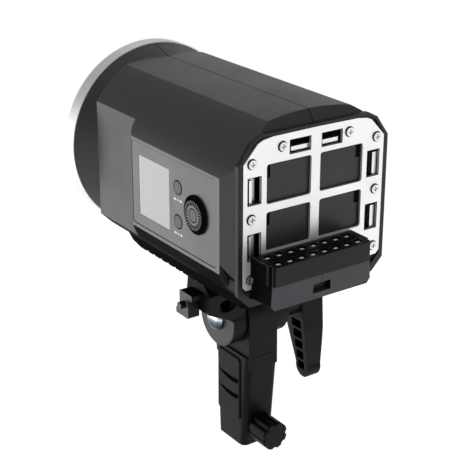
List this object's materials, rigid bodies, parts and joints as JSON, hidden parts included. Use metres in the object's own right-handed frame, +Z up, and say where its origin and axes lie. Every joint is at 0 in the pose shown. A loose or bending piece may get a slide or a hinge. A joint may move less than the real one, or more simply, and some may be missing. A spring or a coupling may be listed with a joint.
{
  "type": "monolight strobe",
  "caption": "Battery monolight strobe head: round front ring, side control panel, rear battery dock with contact block, tilting bracket with umbrella clamp and stand handle",
  "frame": {"origin": "mouth of the stand socket, on the handle's axis", "axes": "+Z up, the light faces -Y, the control panel is on the +X side"},
  "size_m": [0.125, 0.201, 0.2405],
  "materials": {
    "body": "fine textured charcoal moulding",
    "panel": "satin grey",
    "black": "smooth black moulding",
    "grey": "satin grey moulding",
    "silver": "satin",
    "plate": "satin",
    "steel": "bright",
    "chrome": "polished",
    "brass": "plated",
    "screen": "clear window",
    "glass": "clear quartz",
    "board": "circuit board",
    "ceramic": "ceramic",
    "pad": "friction pad",
    "led": "phosphor"
  },
  "bodies": {
    "handle": {"handle_core": "black", "left_grip": "black", "right_grip": "black", "socket_sleeve": "silver"},
    "head": {"left_shell": "body", "right_shell": "body", "front_ring": "silver", "mount_plate": "steel", "mount_barrel": "silver", "mount_screws": "steel", "reflector_pan": "silver", "lamp_base": "ceramic", "flash_tube": "glass", "modelling_led": "led", "heat_sink": "silver", "fan_frame": "black", "capacitors": "black", "power_board": "board", "control_board": "board", "rear_bezel": "grey", "battery_plate": "plate", "plate_screws": "steel", "window_screens": "black", "latch_tongues": "steel", "connector_housing": "grey", "connector_block": "black", "contact_blades": "brass", "panel_overlay": "panel", "lcd_window": "screen", "lcd_module": "black", "sync_jack": "black", "switch_frame": "black", "base_tray": "grey", "tray_screws": "steel", "tilt_block": "black", "ear_disc": "grey", "friction_pads": "pad", "tilt_bolt": "chrome"},
    "dial": {"select_dial": "grey"},
    "dial_button": {"dial_button": "panel"},
    "button_upper": {"button_upper": "panel"},
    "button_lower": {"button_lower": "panel"},
    "lever": {"tilt_lever": "black", "lever_nut": "steel", "lever_cap": "black"},
    "clamp_screw": {"umbrella_screw": "grey"},
    "stand_knob": {"stand_knob": "black"},
    "release": {"mount_release": "black"},
    "rotor": {"fan_rotor": "black"},
    "switch": {"power_switch": "black"}
  },
  "joints": [
    {"name": "head_tilt", "type": "hinge", "parent": "handle", "child": "head", "pos_m": [0, 0, 0.0889], "axis": [1, 0, 0], "range_deg": [-90, 90]},
    {"name": "lever_turn", "type": "hinge", "parent": "head", "child": "lever", "pos_m": [0, 0, 0.0889], "axis": [1, 0, 0], "range_deg": [-60, 60]},
    {"name": "clamp_screw_turn", "type": "hinge", "parent": "head", "child": "clamp_screw", "pos_m": [0.043, 0.0023, 0.106], "axis": [1, 0, 0], "range_deg": [-360, 360]},
    {"name": "stand_knob_turn", "type": "hinge", "parent": "handle", "child": "stand_knob", "pos_m": [0, 0.02, 0.013], "axis": [0, 1, 0], "range_deg": [-360, 720]},
    {"name": "dial_spin", "type": "hinge", "parent": "head", "child": "dial", "pos_m": [0.058, 0.0304, 0.1749], "axis": [1, 0, 0], "continuous": true},
    {"name": "dial_button_press", "type": "slide", "parent": "head", "child": "dial_button", "axis": [-1, 0, 0], "range_m": [0, 0.0006], "stiffness_N_per_m": 1500},
    {"name": "button_upper_press", "type": "slide", "parent": "head", "child": "button_upper", "axis": [-1, 0, 0], "range_m": [0, 0.0008], "stiffness_N_per_m": 1500},
    {"name": "button_lower_press", "type": "slide", "parent": "head", "child": "button_lower", "axis": [-1, 0, 0], "range_m": [0, 0.0008], "stiffness_N_per_m": 1500},
    {"name": "release_slide", "type": "slide", "parent": "head", "child": "release", "axis": [0, 1, 0], "range_m": [0, 0.0024], "stiffness_N_per_m": 800},
    {"name": "fan_spin", "type": "hinge", "parent": "head", "child": "rotor", "pos_m": [0, -0.0373, 0.178], "axis": [0, 1, 0], "continuous": true},
    {"name": "switch_rock", "type": "hinge", "parent": "head", "child": "switch", "pos_m": [-0.0482, -0.0173, 0.158], "axis": [0, 1, 0], "range_deg": [-7, 7]}
  ]
}
